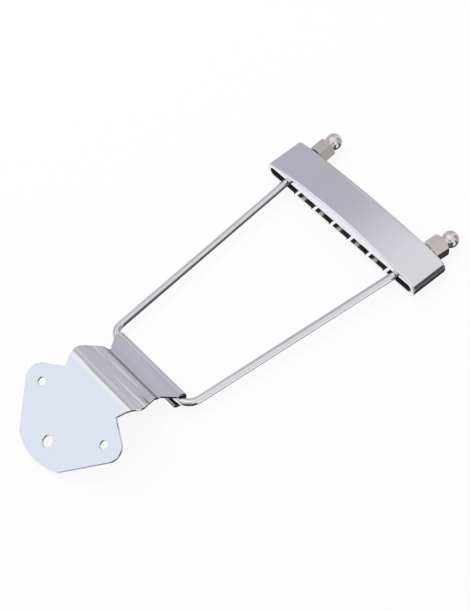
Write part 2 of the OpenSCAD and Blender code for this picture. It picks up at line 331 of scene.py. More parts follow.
def rim_radius(end, point, facing):
    top, side, below = front_rim if end == "front" else rear_rim
    if end == "rear":
        loss = rear_top_loss * (abs(point.x) / rear_top_span) ** rear_top_power
        top = max(top - loss, rear_top_least)
    up = max(facing.z, 0) ** rim_blend
    down = max(-facing.z, 0) ** rim_blend
    return side + (top - side) * up + (below - side) * down


# %% [markdown]
# Each rim is rounded in eight steps. One more narrow step on the straight keeps
# the rim's shading from running on along the bar.

# %% Stations along the bar
rim_steps = 8
rim_band = 0.06
quarter = [90 * i / rim_steps for i in range(rim_steps + 1)]
stations = [("front", degrees, 0) for degrees in quarter] + [("front", 90, rim_band)]
stations += [("rear", 90, rim_band)] + [("rear", degrees, 0) for degrees in reversed(quarter)]


def settle(base, end, degrees, beyond):
    """Puts a loop's points that many degrees round the rim's quarter circle."""
    turn = math.radians(degrees)
    for vert, (point, facing) in base.items():
        radius = rim_radius(end, point, facing)
        reach = radius * (1 - math.cos(turn)) + beyond
        y = reach if end == "front" else bar_depth - reach
        vert.co = point - facing * radius * (1 - math.sin(turn)) + Vector((0, y, 0))


print(len(stations), "stations from the front of the bar to its back")

# %% [markdown]
# The loop is drawn out once for each station. A new point has to know which
# point of the outline it came from, and the edge between the two tells it. Both
# ends are then closed, with a narrow band of faces inside the rim.

# %% Solid block of the bar
cap_band = 0.08


def came_from(vert, ring):
    return next(edge.other_vert(vert) for edge in vert.link_edges if edge not in ring)


def bar_block():
    bm = bmesh.new()
    front = loop = bar_outline(bm)
    base = {vert: (vert.co.copy(), outward(vert.co)) for vert in bm.verts}
    settle(base, *stations[0])
    for station in stations[1:]:
        loop = draw_out(bm, loop)
        ring = set(loop)
        base = {vert: base[came_from(vert, ring)] for vert in ring_verts(loop)}
        settle(base, *station)
    for rim in (front, loop):
        cap = bmesh.ops.contextual_create(bm, geom=rim)["faces"]
        bmesh.ops.inset_region(bm, faces=cap, thickness=cap_band, use_even_offset=True)
    bmesh.ops.recalc_face_normals(bm, faces=bm.faces)
    return bm


# %% [markdown]
# The pocket for the strings' ball ends, the six slots and the two holes for the
# rod are milled out with Boolean modifiers, as a cutter would. Each cutter is
# its own small drawing that runs past the faces it opens.

# %% Cutters for the pocket and the slots
pocket_half = 41.0
pocket_low = 1.3
pocket_high = 5.5
back_wall = 2.8
pocket_depth = bar_depth - back_wall
slot_width = 2.06
slot_rise = 3.0
string_count = 6
string_pitch = 10.4
overrun = 1


def draw_prism(bm, depth):
    bmesh.ops.remove_doubles(bm, verts=bm.verts, dist=join_mm)
    start = bm.edges[:]
    end = draw_out(bm, start, (0, depth, 0))
    for loop in (start, end):
        bmesh.ops.contextual_create(bm, geom=loop)


def pocket_cutter():
    bm = bmesh.new()
    radius = (pocket_high - pocket_low) / 2
    half_long = pocket_half - radius
    centre_z = pocket_low + radius
    pen = start_at(bm, (-half_long, -overrun, pocket_low))
    pen = line_to(bm, pen, (half_long, -overrun, pocket_low))
    pen = arc_to(bm, pen, (half_long, -overrun, centre_z), (0, -1, 0), 180, 24)
    pen = line_to(bm, pen, (-half_long, -overrun, pocket_high))
    arc_to(bm, pen, (-half_long, -overrun, centre_z), (0, -1, 0), 180, 24)
    draw_prism(bm, pocket_depth + overrun)
    return bm


def slot_cutter(x):
    bm = bmesh.new()
    radius = slot_width / 2
    pen = start_at(bm, (x - radius, -overrun, -overrun))
    pen = line_to(bm, pen, (x + radius, -overrun, -overrun))
    pen = line_to(bm, pen, (x + radius, -overrun, slot_rise))
    pen = arc_to(bm, pen, (x, -overrun, slot_rise), (0, -1, 0), 180, 24)
    line_to(bm, pen, (x - radius, -overrun, -overrun))
    draw_prism(bm, bar_depth + 2 * overrun)
    return bm


# %% [markdown]
# The rod's arms lean outwards, so each drill is leaned as well before it moves
# to its side of the bar.

# %% Drill for the rod holes
rod_hole_r = rod_r + 0.25
rod_hole_x = 31.4
drill_len = 6


def rod_hole_cutter(side):
    bm = bmesh.new()
    ring = bmesh.ops.create_circle(bm, cap_ends=True, segments=48, radius=rod_hole_r)["verts"]
    bmesh.ops.rotate(bm, verts=ring, cent=(0, 0, 0), matrix=Matrix.Rotation(-math.pi / 2, 3, "X"))
    bmesh.ops.translate(bm, verts=ring, vec=(0, pocket_depth - overrun, 0))
    made = bmesh.ops.extrude_face_region(bm, geom=bm.faces[:])["geom"]
    bmesh.ops.translate(bm, verts=only(bmesh.types.BMVert, made), vec=(0, drill_len, 0))
    lean = Matrix.Rotation(-side * arm_lean, 3, "Z")
    bmesh.ops.rotate(bm, verts=bm.verts, cent=(0, 0, 0), matrix=lean)
    bmesh.ops.translate(bm, verts=bm.verts, vec=(side * rod_hole_x, 0, -bar_floor_z))
    return bm


# %% [markdown]
# The exact solver keeps the edges clean where a cutter's wall meets the block.
# Each cut is applied at once, and its cutter is thrown away.

# %% Milling
def mill(piece, cutter_bm):
    bmesh.ops.recalc_face_normals(cutter_bm, faces=cutter_bm.faces)
    cutter_mesh = bpy.data.meshes.new("cutter")
    cutter_bm.to_mesh(cutter_mesh)
    cutter_bm.free()
    cutter = bpy.data.objects.new("cutter", cutter_mesh)
    bpy.context.scene.collection.objects.link(cutter)
    cut = piece.modifiers.new("mill", "BOOLEAN")
    cut.operation = "DIFFERENCE"
    cut.solver = "EXACT"
    cut.object = cutter
    bpy.context.view_layer.update()
    evaluated = piece.evaluated_get(bpy.context.evaluated_depsgraph_get())
    milled = bpy.data.meshes.new_from_object(evaluated)
    piece.modifiers.clear()
    piece.data = milled
    bpy.data.objects.remove(cutter)


bar = finish_drawing(bar_block(), Matrix.Identity(4), "string_bar_casting")
mill(bar, pocket_cutter())
for number in range(string_count):
    mill(bar, slot_cutter((number - (string_count - 1) / 2) * string_pitch))
for side in (-1, 1):
    mill(bar, rod_hole_cutter(side))
print("bar after milling:", len(bar.data.polygons), "faces")

# %% [markdown]
# A milled edge is sharp, and no plated edge is. Every crisp edge is bevelled by a tenth of a
# millimetre, just enough to catch a line of light. The faces in the pocket, from just behind the lip,
# are marked for a near-black finish, which paints the shade inside the pocket.

# %% Broken edges and the pocket's painted shade
crisp_deg = 50
edge_break = 0.1
lip = 0.15
plated_face, pocket_shade_face = 0, 1


def break_edges(mesh, width):
    bm = bmesh.new()
    bm.from_mesh(mesh)
    bmesh.ops.remove_doubles(bm, verts=bm.verts, dist=weld_mm)
    limit = math.radians(crisp_deg)
    sharp = [e for e in bm.edges if e.is_manifold and e.calc_face_angle() > limit]
    bmesh.ops.bevel(
        bm, geom=sharp, offset=width, offset_type="OFFSET", segments=1, profile=0.5,
        affect="EDGES", material=-1, clamp_overlap=True,
    )
    bm.to_mesh(mesh)
    bm.free()
    return len(sharp)


def in_pocket(point):
    across = abs(point.x) < pocket_half + hair and pocket_low - hair < point.z < pocket_high + hair
    return across and lip < point.y < pocket_depth + hair


print("edges broken:", break_edges(bar.data, edge_break))
# faces inside the pocket get a near-black finish: painted shade
for polygon in bar.data.polygons:
    polygon.material_index = pocket_shade_face if in_pocket(polygon.center) else plated_face
bar.data.transform(swing_place @ Matrix.Translation((0, bar_front_y, bar_floor_z)))
bar.data.name = "string_bar_casting"
stand_in(bar, "string_bar", "frame")

# %% [markdown]
# ## The cap nuts
# Each nut is a hexagon with a turned groove and a ball on its end. A six-sided
# circle with extra points along its sides becomes a stack of rings, one drawn
# out of the other. Where the chamfer's cone cuts the flats, each point of the
# rim drops by the cone's slope, which gives the curved line that a lathe
# leaves on hexagon bar. A Boolean with a cone would give the same line, but
# with thin slivers of faces beside it, which chrome would show.

# %% Hexagon
hex_flat_r = 4
hex_corner_r = hex_flat_r / math.cos(math.pi / 6)
hex_len = 6.7
chamfer_r = 3.58
base_chamfer_r = chamfer_r + 0.2
chamfer_slope = math.tan(math.pi / 6)


def next_ring(bm, loop, radius, height):
    loop = draw_out(bm, loop)
    for vert in ring_verts(loop):
        flat = vert.co.xy.normalized() * radius
        vert.co = (flat.x, flat.y, height)
    return loop


def hexagon(bm, turn_deg):
    """Returns the loops of its base and of its far end."""
    bmesh.ops.create_circle(bm, cap_ends=False, segments=6, radius=hex_corner_r)
    bmesh.ops.subdivide_edges(bm, edges=bm.edges[:], cuts=15)
    turn = Matrix.Rotation(math.radians(turn_deg + 30), 3, "Z")
    bmesh.ops.rotate(bm, verts=bm.verts, cent=(0, 0, 0), matrix=turn)
    base = bm.edges[:]
    for vert in ring_verts(base):
        vert.co.z = max(vert.co.xy.length - base_chamfer_r, 0) * chamfer_slope
    loop = draw_out(bm, base)
    for vert in ring_verts(loop):
        vert.co.z = hex_len - (vert.co.xy.length - chamfer_r) * chamfer_slope
    return base, next_ring(bm, loop, chamfer_r, hex_len)


# %% [markdown]
# Past the hexagon comes a narrow land, then a fillet down to the neck, and the
# ball grows out of the neck. The bore goes in from the other side, with its
# mouth countersunk. It is plain, because the thread inside can't be seen.

# %% Groove, ball and bore
land_rise = 0.03
land_radii = (3.5, 3.42)
neck_r = 2.7
neck_fillet = 0.25
fillet_steps = 6
ball_r = 3.4
ball_z = 10.1
ball_steps = 32
pole_gap = 0.03
bore_r = rod_r + 0.05
mouth_r = rod_r + 0.25
mouth_depth = 0.2
bore_depth = 9
bore_tip_r = 0.1


def groove_and_ball(bm, loop):
    for radius in land_radii:
        loop = next_ring(bm, loop, radius, hex_len + land_rise)
    fillet_z = hex_len + land_rise + neck_fillet
    for i in range(fillet_steps + 1):
        turn = math.radians(90 * i / fillet_steps)
        radius = neck_r + neck_fillet * (1 - math.sin(turn))
        loop = next_ring(bm, loop, radius, fillet_z - neck_fillet * math.cos(turn))
    waist = math.asin(neck_r / ball_r)
    for i in range(ball_steps + 1):
        turn = waist + (math.pi - waist - pole_gap) * i / ball_steps
        loop = next_ring(bm, loop, ball_r * math.sin(turn), ball_z - ball_r * math.cos(turn))
    bmesh.ops.edgeloop_fill(bm, edges=loop)


def bore(bm, loop):
    loop = next_ring(bm, loop, base_chamfer_r, 0)
    loop = next_ring(bm, loop, mouth_r, 0)
    loop = next_ring(bm, loop, bore_r, mouth_depth)
    loop = next_ring(bm, loop, bore_r, bore_depth)
    loop = next_ring(bm, loop, bore_tip_r, bore_depth)
    bmesh.ops.edgeloop_fill(bm, edges=loop)


def nut_shape(turn_deg):
    bm = bmesh.new()
    base, top = hexagon(bm, turn_deg)
    groove_and_ball(bm, top)
    bore(bm, base)
    return bm


# %% [markdown]
# The record gives the right nut's seat and axis, and the left one mirrors them.
# The photograph shows how far each nut happens to be turned: 1 degree and 34
# degrees from lying on a flat.

# %% Nuts on the arms
nut_turns_deg = {"left_nut": 1, "right_nut": 34}


def place_nut(side):
    to_side = Vector((side, 1, 1))
    along = arm_direction * to_side
    across = Vector((along.y, -along.x, 0)).normalized()
    upward = across.cross(along)
    axes = Matrix((across, -upward, along)).transposed().to_4x4()
    return Matrix.Translation(nut_seat * to_side) @ axes @ millimetres


for name, side in (("left_nut", -1), ("right_nut", 1)):
    nut = finish_drawing(nut_shape(nut_turns_deg[name]), place_nut(side), name + "_acorn")
    stand_in(nut, name, name)

# %% [markdown]
# ## The tail bracket
# A press cuts a flat blank with its holes and then folds it. The same is done
# here: the outline is drawn flat, filled, given its thickness and rounded
# along its rim. It is then scored across at every small step of every bend,
# and each point moves to where the folded sheet has it. Solid and flat until
# the last step, the sheet keeps an even thickness through all its bends.
#
# Seen from the side, the sheet is a row of bends and straights: the curl round
# the wire, a short steep step up between a valley and a ridge, the gentler neck,
# and the crest that turns down to the pad. The crest isn't one arc. The bright
# band along it takes three bends, wide, very wide and tight, one running into
# the next.

# %% Bends of the sheet
sheet_t = 1.2
curl_start_deg = -69.0
curl = (2.8, 241)  # radius, and the angle that the sheet turns by
valley = (1.5, -48)
ridge = (1.9, 24)
crest = [(5.0, 31), (9.0, 8)]
pad_tilt_deg = 26.0046
turned_so_far = sum(degrees for _, degrees in (curl, valley, ridge, *crest))
crest.append((1.6, 180 + pad_tilt_deg - curl_start_deg - turned_so_far))


def aim(degrees):
    return Vector((math.cos(math.radians(degrees)), math.sin(math.radians(degrees))))


def tangent(radius, degrees):
    return radius * math.tan(math.radians(abs(degrees)) / 2)


def corner_cut(bends):
    """How much of the straight before and after a corner its run of bends takes."""
    run = Vector((0, 0))
    start = 0.0
    for radius, degrees in bends:
        end = start + math.radians(degrees)
        run += radius * Vector((math.sin(end) - math.sin(start), math.cos(start) - math.cos(end)))
        start = end
    after = run.y / math.sin(start)
    return run.x - after * math.cos(start), after


print(f"crest's last bend: {crest[-1][1]:.4f} degrees")

# %% [markdown]
# The straights are known from corner to corner, as a drawing gives them, so each
# loses what the bends at its ends take. A straight has an angle of zero.

# %% The line that the sheet is folded along
curl_flat = 7.2
step_flat = 3.75
neck_flat = 13.3
crest_to_holes = 16.1
tip_reach = 22.2
past_tip = 0.8
valley_cut, ridge_cut = tangent(*valley), tangent(*ridge)
crest_before, crest_after = corner_cut(crest)
folds = [
    curl,
    (curl_flat - valley_cut, 0),
    valley,
    (step_flat - valley_cut - ridge_cut, 0),
    ridge,
    (neck_flat - ridge_cut - crest_before, 0),
    *crest,
    (crest_to_holes - crest_after + tip_reach + past_tip, 0),
]


def fold_length(fold):
    size, degrees = fold
    return size * math.radians(abs(degrees)) if degrees else size


fold_starts = [sum(fold_length(f) for f in folds[:i]) for i in range(len(folds) + 1)]
curl_end = fold_starts[1]
pad_start = fold_starts[-2]
holes_s = fold_starts[-1] - tip_reach - past_tip
print(f"blank {holes_s + tip_reach:.2f} mm long; pad starts at {pad_start:.2f}")

# %% [markdown]
# To find where a point of the flat sheet ends up, walk along the folds to its
# distance: turn about the centre of each bend, and step along each straight.

# %% Where a point of the sheet goes
def folded(s):
    """Point (y, z) and heading in degrees, at the distance s along the sheet."""
    heading = curl_start_deg
    point = curl[0] * aim(heading - 90)
    for size, degrees in folds:
        part = min(max(s, 0), fold_length((size, degrees)))
        if degrees:
            turned_by = math.degrees(part / size) * math.copysign(1, degrees)
            centre = point + aim(heading + 90) * math.copysign(size, degrees)
            point = centre + Matrix.Rotation(math.radians(turned_by), 2) @ (point - centre)
            heading += turned_by
        else:
            point = point + aim(heading) * part
        s -= part
        if s <= 0:
            break
    return point, heading


# %% [markdown]
# Behind the hook the neck narrows, and it widens again to a round lobe beside
# the crest. Its outline is known from above, where lengths along its slopes look
# shorter. A small search finds the distance along the sheet that lies at a given
# place seen from above.

# %% Neck's side of the blank
hook_half = 18.8
neck_corners = [  # x and y seen from above, and the corner's radius
    (hook_half, 6.0, 0.0),
    (hook_half, -0.84, 1.0),
    (14.3, -6.04, 2.0),
    (19.4, -16.616, 5.0),
    (14.2, -27.396, 0.0),
]
neck_start_y = 0.3
halvings = 40


def s_at(y):
    low, high = curl_end, fold_starts[-1]
    for _ in range(halvings):
        middle = (low + high) / 2
        if folded(middle)[0].x > y:
            low = middle
        else:
            high = middle
    return low


def rounded_corner(bm, pen, before, at, after, radius, steps=14):
    into = (at - before).normalized()
    out = (after - at).normalized()
    turn = into.xy.angle_signed(out.xy)
    hand = -math.copysign(1, turn)
    pen = line_to(bm, pen, at - into * radius * math.tan(abs(turn) / 2))
    centre = pen.co + Vector((-into.y, into.x, 0)) * hand * radius
    return arc_to(bm, pen, centre, (0, 0, hand), math.degrees(abs(turn)), steps)


def neck_side(bm):
    """Returns the end of the neck's side, and the end of the lobe's arc before it."""
    corners = [Vector((x, y, 0)) for x, y, _ in neck_corners]
    pen = start_at(bm, (hook_half, neck_start_y, 0))
    for i in (1, 2, 3):
        pen = rounded_corner(bm, pen, corners[i - 1], corners[i], corners[i + 1], neck_corners[i][2])
    last = line_to(bm, pen, corners[4])
    for vert in bm.verts:
        vert.co.y = s_at(vert.co.y)
    return last, pen


# %% [markdown]
# The pad is a shield: two round ears with the screw holes, a round shoulder
# above each and a wide arc at the tip, with a small corner at each end of it.
# Two arcs either touch or are joined by a straight that touches both, so only
# centres and radii are given, and the angles between them are worked out.

# %% Pad's side of the blank
screw_x = 18.8
screw_d = 3.4
pin_drop = 14
pin_d = 4.6
ear = Vector((20.6, 0.3))
ear_r = 5.8
shoulder = Vector((12.0, 5.0))
shoulder_r = 6.0
tip_arc_r = 25.1
tip_axis = Vector((0.0, tip_arc_r - tip_reach))
corner_r = 5.0
corner_x = 8.7
corner = Vector((corner_x, tip_axis.y - math.sqrt((tip_arc_r - corner_r) ** 2 - corner_x ** 2)))


def bearing(a, b):
    return math.degrees(math.atan2(b.y - a.y, b.x - a.x))


def touch(a, a_r, b, b_r):
    """Bearing, from either centre, of the points where one line touches both circles."""
    return bearing(a, b) - math.degrees(math.acos((a_r - b_r) / (b - a).length))


def pad_side(bm, meet):
    """Right side of the pad, up from its tip, to where the neck's side meets it."""
    pen = start_at(bm, (0, -tip_reach, 0))
    start = -90.0
    for centre, radius, end, steps in (
        (tip_axis, tip_arc_r, bearing(tip_axis, corner), 16),
        (corner, corner_r, touch(corner, corner_r, ear, ear_r), 12),
        (ear, ear_r, touch(ear, ear_r, shoulder, shoulder_r), 24),
        (shoulder, shoulder_r, bearing(shoulder, meet), 12),
    ):
        foot = centre + radius * aim(start)
        if (pen.co.xy - foot).length > hair:
            pen = line_to(bm, pen, foot.to_3d())
        pen = arc_to(bm, pen, centre.to_3d(), (0, 0, 1), end - start, steps)
        start = end


# %% [markdown]
# The pad is drawn from the line of its screw holes, with its tip down. It is
# then turned over, moved to its place along the sheet and joined to the neck's
# side, which meets it on the shoulder. The mirror closes the outline, and with
# the holes drawn in it, it is filled in one go.

# %% The flat blank
def add_pad_side(bm, meet):
    pad = bmesh.new()
    pad_side(pad, meet)
    bmesh.ops.scale(pad, verts=pad.verts, vec=(1, -1, 1))
    bmesh.ops.translate(pad, verts=pad.verts, vec=(0, holes_s, 0))
    keep = bpy.data.meshes.new("pad_side")
    pad.to_mesh(keep)
    pad.free()
    bm.from_mesh(keep)
    bpy.data.meshes.remove(keep)


def flat_blank():
    bm = bmesh.new()
    waist, lobe_end = neck_side(bm)
    far = Vector((waist.co.x, holes_s - waist.co.y))
    near = Vector((lobe_end.co.x, holes_s - lobe_end.co.y))
    meets = intersect_line_sphere_2d(near, far, shoulder, shoulder_r, False)
    meet = max((point for point in meets if point is not None), key=lambda point: point.y)
    waist.co = (meet.x, holes_s - meet.y, 0)
    add_pad_side(bm, meet)
    top = min(bm.verts, key=lambda vert: vert.co.y)
    curl_side = line_to(bm, top, (hook_half, 0, 0))
    line_to(bm, curl_side, (0, 0, 0))
    mirror_half(bm)
    bmesh.ops.remove_doubles(bm, verts=bm.verts, dist=2 * join_mm)
    for x, down, diameter in ((-screw_x, 0, screw_d), (screw_x, 0, screw_d), (0, pin_drop, pin_d)):
        hole = Matrix.Translation((x, holes_s + down, 0))
        bmesh.ops.create_circle(bm, cap_ends=False, segments=64, radius=diameter / 2, matrix=hole)
    bmesh.ops.triangle_fill(bm, use_beauty=True, use_dissolve=False, edges=bm.edges[:])
    return bm


# %% [markdown]
# The blank gets its thickness, and its rim is bevelled all round. A narrow band
# of faces inside the rim and beside each bend keeps the flats looking flat.

# %% Thickness and rounded rim
rim_r = 0.18
sheet_band = 0.06
wall_rad = 1.2


def band_inside_rim(bm, height, facing):
    def lies_there(face):
        off = abs(face.calc_center_median().z - height)
        return off < join_mm and face.normal.z * facing > 0.99

    faces = [face for face in bm.faces if lies_there(face)]
    bmesh.ops.inset_region(bm, faces=faces, thickness=sheet_band, use_even_offset=True)


def thick_blank():
    bm = flat_blank()
    made = bmesh.ops.extrude_face_region(bm, geom=bm.faces[:])["geom"]
    bmesh.ops.translate(bm, verts=only(bmesh.types.BMVert, made), vec=(0, 0, sheet_t))
    bmesh.ops.translate(bm, verts=bm.verts, vec=(0, 0, -sheet_t / 2))
    bmesh.ops.recalc_face_normals(bm, faces=bm.faces)
    corners = [e for e in bm.edges if e.is_manifold and e.calc_face_angle() > wall_rad]
    rim = [e for e in corners if abs(e.verts[0].co.z - e.verts[1].co.z) < join_mm]
    bmesh.ops.bevel(
        bm, geom=rim, offset=rim_r, offset_type="OFFSET", segments=3, profile=0.5,
        affect="EDGES", material=-1, clamp_overlap=False,
    )
    bm.normal_update()
    band_inside_rim(bm, sheet_t / 2, 1)
    band_inside_rim(bm, -sheet_t / 2, -1)
    return bm


# %% [markdown]
# A sheet can only bend where it has edges, so it is scored across, every three
# degrees of each bend.

# %% Scoring
bend_step_deg = 3
snap_mm = 0.00005


def score(bm, s):
    everything = bm.verts[:] + bm.edges[:] + bm.faces[:]
    bmesh.ops.bisect_plane(bm, geom=everything, dist=snap_mm, plane_co=(0, s, 0), plane_no=(0, 1, 0))


def score_bends(bm):
    for (_, degrees), start, end in zip(folds, fold_starts, fold_starts[1:]):
        if degrees:
            steps = round(abs(degrees) / bend_step_deg)
            for i in range(steps + 1):
                score(bm, start + (end - start) * i / steps)
            score(bm, start - sheet_band)
            score(bm, end + sheet_band)


# %% [markdown]
# While the sheet is flat, it is easy to say which face gets which finish. The pad is smooth, and the
# folded part shows the streaks of the press. The inside of the curl gets a near-black finish, which
# paints the shade there. The cut edges round the hook and the slope of the step behind the curl get a
# dark chrome, which is painted shade. A finish may run a little into the bend next to it.

# %% Finishes of the sheet, by place
streaked, shaded_curl, shaded_edges_and_slope, smooth = range(4)
cut_edge = 0.1
hook_end = fold_starts[2]
slope_start, slope_end = fold_starts[3] - 0.25, fold_starts[4] + 0.15
smooth_start = pad_start - 0.05


def finish_at(face):
    s = face.calc_center_median().y
    # inside of the curl: near-black painted shade
    if face.normal.z < -0.5 and s < curl_end:
        return shaded_curl
    hook_side = abs(face.normal.x) > 0.7 and s < hook_end
    slope = face.normal.z > 0.5 and slope_start < s < slope_end
    # the hook's cut edges and the step's slope get dark chrome: painted shade
    if s < cut_edge or hook_side or slope:
        return shaded_edges_and_slope
    return smooth if s > smooth_start else streaked


# %% [markdown]
# Folding moves points and nothing else. Each keeps its height above the middle
# of the sheet, measured square to the sheet wherever that ends up.

# %% Folding
def bracket_shape():
    bm = thick_blank()
    score_bends(bm)
    bm.normal_update()
    for face in bm.faces:
        face.material_index = finish_at(face)
    for vert in bm.verts:
        point, heading = folded(vert.co.y)
        place = point - aim(heading + 90) * vert.co.z
        vert.co = (vert.co.x, place.x, place.y)
    return bm


bracket = finish_drawing(bracket_shape(), bracket_place, "tail_bracket_sheet")
stand_in(bracket, "tail_bracket", "bracket", sharp_deg=33)

# %% [markdown]
# ## Finishes
# A finish is a small tree of nodes, and the same few nodes come again and
# again: sums, ramps, noise, mixes of colour and bumps. Each gets a short helper.

# %% Nodes for sums and ramps
def feed(tree, socket, value):
    """Gives a socket its value: a number, a colour or another node's output."""
    if isinstance(value, bpy.types.NodeSocket):
        tree.links.new(value, socket)
    else:
        socket.default_value = value


def reckon(tree, operation, *values):
    node = tree.nodes.new("ShaderNodeMath")
    node.operation = operation
    for socket, value in zip(node.inputs, values):
        feed(tree, socket, value)
    return node.outputs["Value"]


def ramp(tree, value, low, high, to_low=0.0, to_high=1.0, ease="LINEAR"):
    node = tree.nodes.new("ShaderNodeMapRange")
    node.interpolation_type = ease
    node.inputs["From Min"].default_value = low
    node.inputs["From Max"].default_value = high
    node.inputs["To Min"].default_value = to_low
    node.inputs["To Max"].default_value = to_high
    tree.links.new(value, node.inputs["Value"])
    return node.outputs["Result"]


# %% [markdown]
# Noise is read from object coordinates, in metres, so it stays put on the piece.
# Its scale along each axis stretches it the way the piece was worked.

# %% Nodes for noise, colours and bumps
def noise(tree, scale, detail, roughness=0.5):
    where = tree.nodes.new("ShaderNodeTexCoord")
    stretched = tree.nodes.new("ShaderNodeMapping")
    stretched.inputs["Scale"].default_value = scale
    tree.links.new(where.outputs["Object"], stretched.inputs["Vector"])
    grain = tree.nodes.new("ShaderNodeTexNoise")
    grain.inputs["Scale"].default_value = 1
    grain.inputs["Detail"].default_value = detail
    grain.inputs["Roughness"].default_value = roughness
    tree.links.new(stretched.outputs["Vector"], grain.inputs["Vector"])
    return grain.outputs["Fac"]


def laid_over(tree, under, factor, colour):
    mix = tree.nodes.new("ShaderNodeMix")
    mix.data_type = "RGBA"
    feed(tree, mix.inputs["A"], under)
    feed(tree, mix.inputs["B"], (*colour, 1))
    feed(tree, mix.inputs["Factor"], factor)
    return mix.outputs["Result"]


def two_tone(tree, factor, first, second):
    return laid_over(tree, (*first, 1), factor, second)


def bump(tree, height, depth, strength, under=None):
    node = tree.nodes.new("ShaderNodeBump")
    node.inputs["Strength"].default_value = strength
    node.inputs["Distance"].default_value = depth
    tree.links.new(height, node.inputs["Height"])
    if under:
        tree.links.new(under, node.inputs["Normal"])
    return node.outputs["Normal"]


# %% [markdown]
# Plated metal is a metallic shader whose roughness is low but never even. A slow
# noise gives the faint haze of handling and polishing, and a fine one gives the
# marks of the tool. A third, the slowest, bends the reflections a little, as no
# pressed or cast surface is quite true, and makes the plating a shade darker
# here and there.

# %% Plated metal
cloud_scale = (90, 90, 90)
haze_from, haze_to = 0.1, 0.45
mark_strength = 0.25


def new_finish(name):
    material = bpy.data.materials.new(name)
    material.use_nodes = True
    return material, material.node_tree, material.node_tree.nodes["Principled BSDF"]


def plated(name, colour, haze, marks, mark_depth, waves, wave_depth, shade=0.035):
    material, tree, shader = new_finish(name)
    shader.inputs["Metallic"].default_value = 1.0
    cloud = noise(tree, cloud_scale, detail=4)
    scratch = noise(tree, marks, detail=5, roughness=0.6)
    swell = noise(tree, waves, detail=1)

    tint = two_tone(tree, swell, [c * (1 - shade) for c in colour], colour)
    both = reckon(tree, "MULTIPLY", cloud, scratch)
    rough = ramp(tree, both, haze_from, haze_to, *haze)
    waved = bump(tree, swell, wave_depth, 1.0)
    marked = bump(tree, scratch, mark_depth, mark_strength, waved)
    tree.links.new(tint, shader.inputs["Base Color"])
    tree.links.new(rough, shader.inputs["Roughness"])
    tree.links.new(marked, shader.inputs["Normal"])
    return material


# %% [markdown]
# A near-black, gritty and dull finish paints the shade inside the bar's pocket and inside the
# bracket's curl. Inside the bar's pocket, paler patches between the slots are painted reflections of
# the light that comes in through the slots. They repeat with the strings, so one wave that runs to
# and fro along the bar places them all.

# %% Near-black painted shade, with painted reflections
grit_scale = (700, 700, 700)
grit_depth = 0.00005
grit_contrast = 0.25
shade_roughness = 0.55
reflection_pale = (0.95, 0.93, 0.9)
reflection_softness = 0.7


def painted_reflections(tree, pitch, centre, half):
    """1 at the middle of each painted reflection, and 0 well outside it."""
    where = tree.nodes.new("ShaderNodeTexCoord")
    place = tree.nodes.new("ShaderNodeSeparateXYZ")
    tree.links.new(where.outputs["Object"], place.inputs["Vector"])
    shifted = reckon(tree, "SUBTRACT", place.outputs["X"], centre)
    beside = reckon(tree, "PINGPONG", shifted, pitch / 2)
    outer, inner = half * (1 + reflection_softness), half * (1 - reflection_softness)
    return ramp(tree, beside, outer, inner, ease="SMOOTHSTEP")


def painted_shade_finish(name, colour, reflection=None):
    material, tree, shader = new_finish(name)
    shader.inputs["Roughness"].default_value = shade_roughness
    grit = noise(tree, grit_scale, detail=4)
    dark, light = ([c * share for c in colour] for share in (1 - grit_contrast, 1 + grit_contrast))
    tint = two_tone(tree, grit, dark, light)
    # pale patches laid over the dark: painted reflections between the slots
    if reflection:
        tint = laid_over(tree, tint, painted_reflections(tree, *reflection), reflection_pale)
    tree.links.new(tint, shader.inputs["Base Color"])
    tree.links.new(bump(tree, grit, grit_depth, mark_strength), shader.inputs["Normal"])
    return material


# %% [markdown]
# The bar was cast and buffed lengthwise, the rod was drawn, the sheet was
# polished before it was pressed, and the nuts were turned. The nuts are nickel
# rather than chrome, and so a little warmer.

# %% Chrome
sheet_marks = (500, 120, 500)
buffed = plated(
    "buffed_chrome", (0.86, 0.86, 0.885), haze=(0.03, 0.08),
    marks=(60, 900, 900), mark_depth=0.000004, waves=(60, 60, 60), wave_depth=0.00003,
)
drawn = plated(
    "drawn_chrome", (0.86, 0.86, 0.875), haze=(0.02, 0.06),
    marks=(1500, 30, 1500), mark_depth=0.000003, waves=(60, 60, 60), wave_depth=0.00001,
)
flat_sheet = plated(
    "flat_chrome", (0.85, 0.865, 0.905), haze=(0.03, 0.08),
    marks=sheet_marks, mark_depth=0.000003, waves=(60, 60, 60), wave_depth=0.00002,
)
pressed = plated(
    "pressed_chrome", (0.935, 0.95, 0.99), haze=(0.03, 0.08),
    marks=sheet_marks, mark_depth=0.000003, waves=(25, 300, 300), wave_depth=0.0003, shade=0.2,
)
# a darker copy of the chrome: painted shade for the hook's edges and the step's slope
shade_chrome = plated(
    "painted_shade_chrome", (0.31, 0.32, 0.35), haze=(0.06, 0.16),
    marks=sheet_marks, mark_depth=0.000003, waves=(25, 300, 300), wave_depth=0.0002,
)

# %% [markdown]
# The pocket's painted shade takes the pitch of its painted reflections from the strings. Each nut
# gets a nickel finish of its own, as each was plated by itself.

# %% Painted shade, painted reflections and nickel
reflection_centre = 0.0093
reflection_half = 0.0009
# the pocket's near-black painted shade, with painted reflections between the slots
pocket_shade = painted_shade_finish("pocket_painted_shade", (0.045, 0.038, 0.035), (string_pitch / 1000, reflection_centre, reflection_half))
# the curl's inside: near-black painted shade
curl_shade = painted_shade_finish("curl_painted_shade", (0.022, 0.021, 0.024))


def nickel(name):
    return plated(
        name, (0.82, 0.765, 0.715), haze=(0.04, 0.10),
        marks=(700, 700, 2500), mark_depth=0.000003, waves=(250, 250, 250), wave_depth=0.00002,
    )


# %% [markdown]
# A piece with several finishes has a number on each face, which counts along
# the piece's list of materials. Clearing that list resets the numbers, so they
# are kept and put back.

